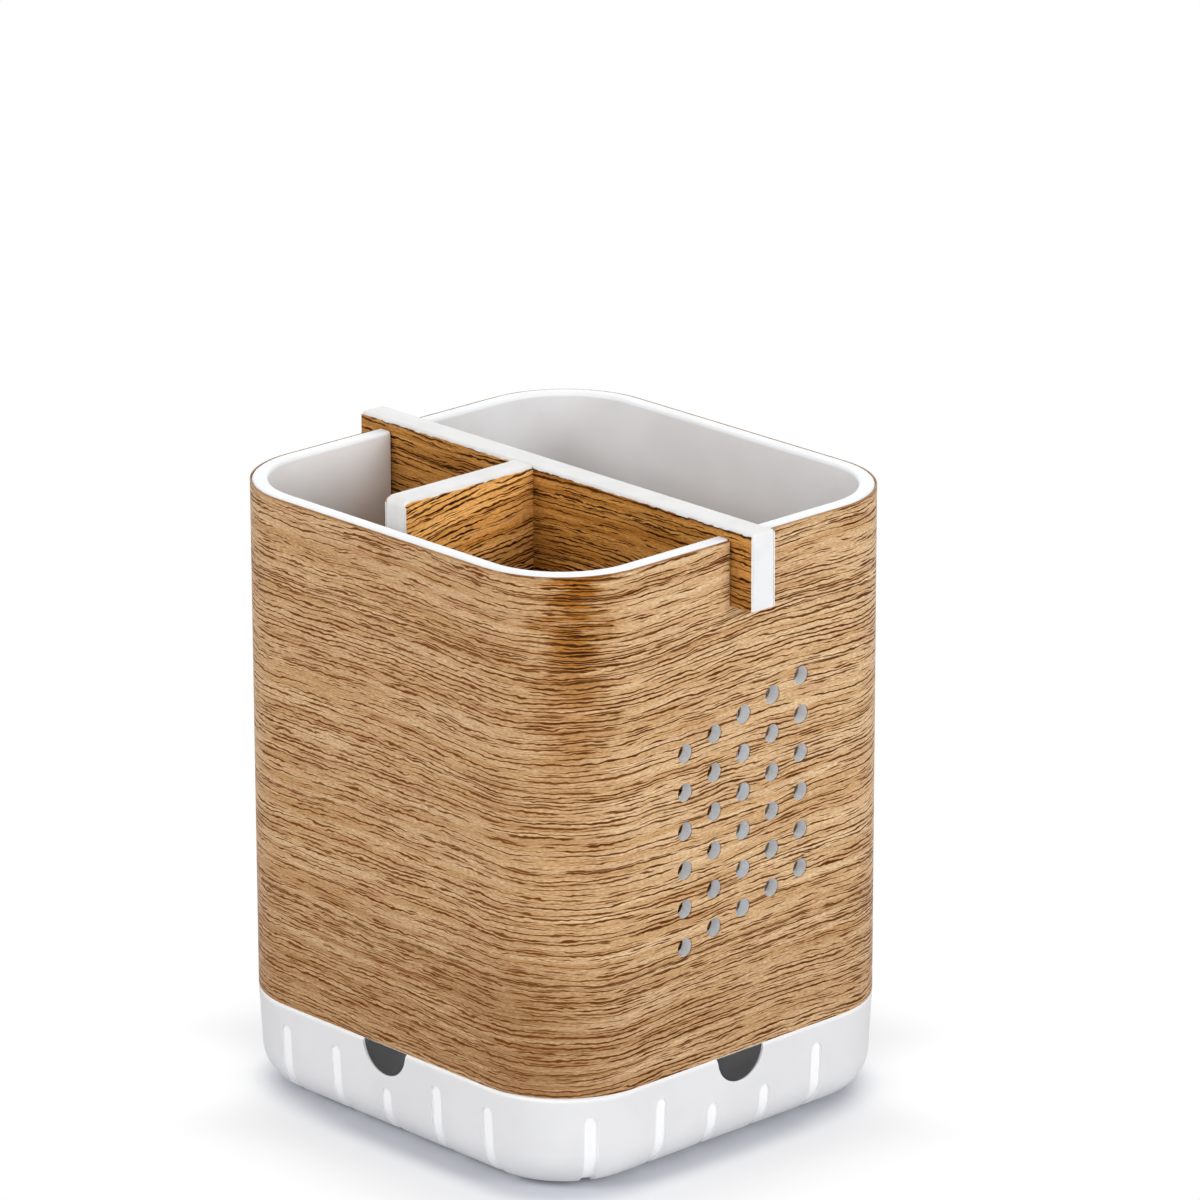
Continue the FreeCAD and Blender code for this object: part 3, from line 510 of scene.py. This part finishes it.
def makeFloor():
    bpy.ops.object.select_all(action="DESELECT")
    bpy.ops.mesh.primitive_plane_add(size=floorSheet["size"], location=(0, 0, 0))
    floor = bpy.context.object
    floor.name = "floor_sheet"
    material, tree, inMm = newMaterial("white_paper_sweep")
    outside = addNode(tree, "Math", {0: cornerReach(tree, inMm), 1: cornerRadius}, operation="SUBTRACT")
    diagonal = addNode(tree, "VectorMath", {0: inMm, 1: floorSheet["frontWay"]}, operation="DOT_PRODUCT")
    ahead = addNode(tree, "Math", {0: diagonal.outputs["Value"]}, operation="ABSOLUTE")
    far = 0.0
    for step in floorSheet["steps"]:
        start, end = (
            addNode(tree, "MapRange", {0: ahead, 1: floorSheet["sideReach"], 2: floorSheet["frontReach"],
                                       3: atSide, 4: inFront}, interpolation_type="SMOOTHSTEP")
            for atSide, inFront in (step["from"], step["to"]))
        share = addNode(tree, "MapRange", {0: outside, 1: start, 2: end, 4: step["share"]},
                        interpolation_type="SMOOTHSTEP")
        far = addNode(tree, "Math", {0: far, 1: share}, operation="ADD")
    paper = addNode(tree, "BsdfDiffuse", {"Color": toLinear(floorSheet["colour"])})
    white = addNode(tree, "Emission", {"Strength": 1.0})
    glow = addNode(tree, "Math", {0: far, 1: seenRays(tree)}, operation="MULTIPLY")
    mixed = addNode(tree, "MixShader", {0: glow, 1: paper, 2: white})
    finishMaterial(tree, mixed)
    floor.data.materials.append(material)


makeFloor()
print("floor laid")


# Studio light: softboxes at the sides and behind, a low one in front, a large one overhead, and a dim room.
softboxes = {                                     # places and sizes in m
    "right": {"from": (1.19, 0.25, 0.5), "size": (0.5, 0.5), "watts": 7.2},
    "left": {"from": (-0.25, -1.1, 0.74), "size": (0.5, 0.5), "watts": 6.8},
    "front": {"from": (0.9, -0.9, 0.32), "size": (0.5, 0.5), "watts": 3.8},
    "back": {"from": (-0.9, 0.86, 0.52), "size": (1.0, 1.0), "watts": 4.4},
    "top": {"from": (0.05, 0.45, 1.35), "size": (1.0, 1.0), "watts": 3.2},
}
lightAim = Vector((0, 0, 0.06))
roomLight = 0.5


def addSoftbox(name, box):
    lamp = bpy.data.lights.new("softbox_" + name, "AREA")
    lamp.shape = "RECTANGLE"
    lamp.size, lamp.size_y = box["size"]
    lamp.energy = box["watts"]
    holder = bpy.data.objects.new("softbox_" + name, lamp)
    bpy.context.scene.collection.objects.link(holder)
    place = Vector(box["from"])
    turn = (lightAim - place).to_track_quat("-Z", "Y").to_matrix().to_4x4()
    holder.matrix_world = Matrix.Translation(place) @ turn
    holder.visible_camera = False


def lightRoom():
    # a dim room that the camera sees as white
    world = bpy.data.worlds.new("studio_room")
    bpy.context.scene.world = world
    world.use_nodes = True
    tree = world.node_tree
    tree.nodes.clear()
    level = addNode(tree, "MapRange", {0: seenRays(tree), 3: roomLight, 4: 1.0})
    room = addNode(tree, "Background", {"Strength": level})
    addNode(tree, "OutputWorld", {"Surface": room})


for boxName, box in softboxes.items():
    addSoftbox(boxName, box)
lightRoom()
bpy.context.scene.view_settings.view_transform = "Standard"
print("lights set")


# Camera: the photograph's angle, a long lens looking a little down on the front corner.
viewpoint = {
    "aim": (10.33, 0.07, 103.1), "distance": 1442.8,          # mm
    "azimuth": 46.696, "elevation": 18.428, "roll": -0.146,   # degrees
    "lens": 222.73, "sensor": 36,                             # mm
}


def addCamera():
    azimuth, elevation, roll = (math.radians(viewpoint[k]) for k in ("azimuth", "elevation", "roll"))
    right = Vector((math.cos(azimuth), math.sin(azimuth), 0))
    back = Vector((math.sin(azimuth) * math.cos(elevation), -math.cos(azimuth) * math.cos(elevation),
                   math.sin(elevation)))
    up = back.cross(right)
    across = right * math.cos(roll) + up * math.sin(roll)
    upright = up * math.cos(roll) - right * math.sin(roll)
    lens = bpy.data.cameras.new("photo_lens")
    lens.lens = viewpoint["lens"]
    lens.sensor_width = viewpoint["sensor"]
    holder = bpy.data.objects.new("photo_camera", lens)
    bpy.context.scene.collection.objects.link(holder)
    turn = Matrix((across, upright, back)).transposed().to_4x4()
    spot = (Vector(viewpoint["aim"]) + back * viewpoint["distance"]) * mm
    holder.matrix_world = Matrix.Translation(spot) @ turn
    bpy.context.scene.camera = holder


addCamera()
print("camera placed")
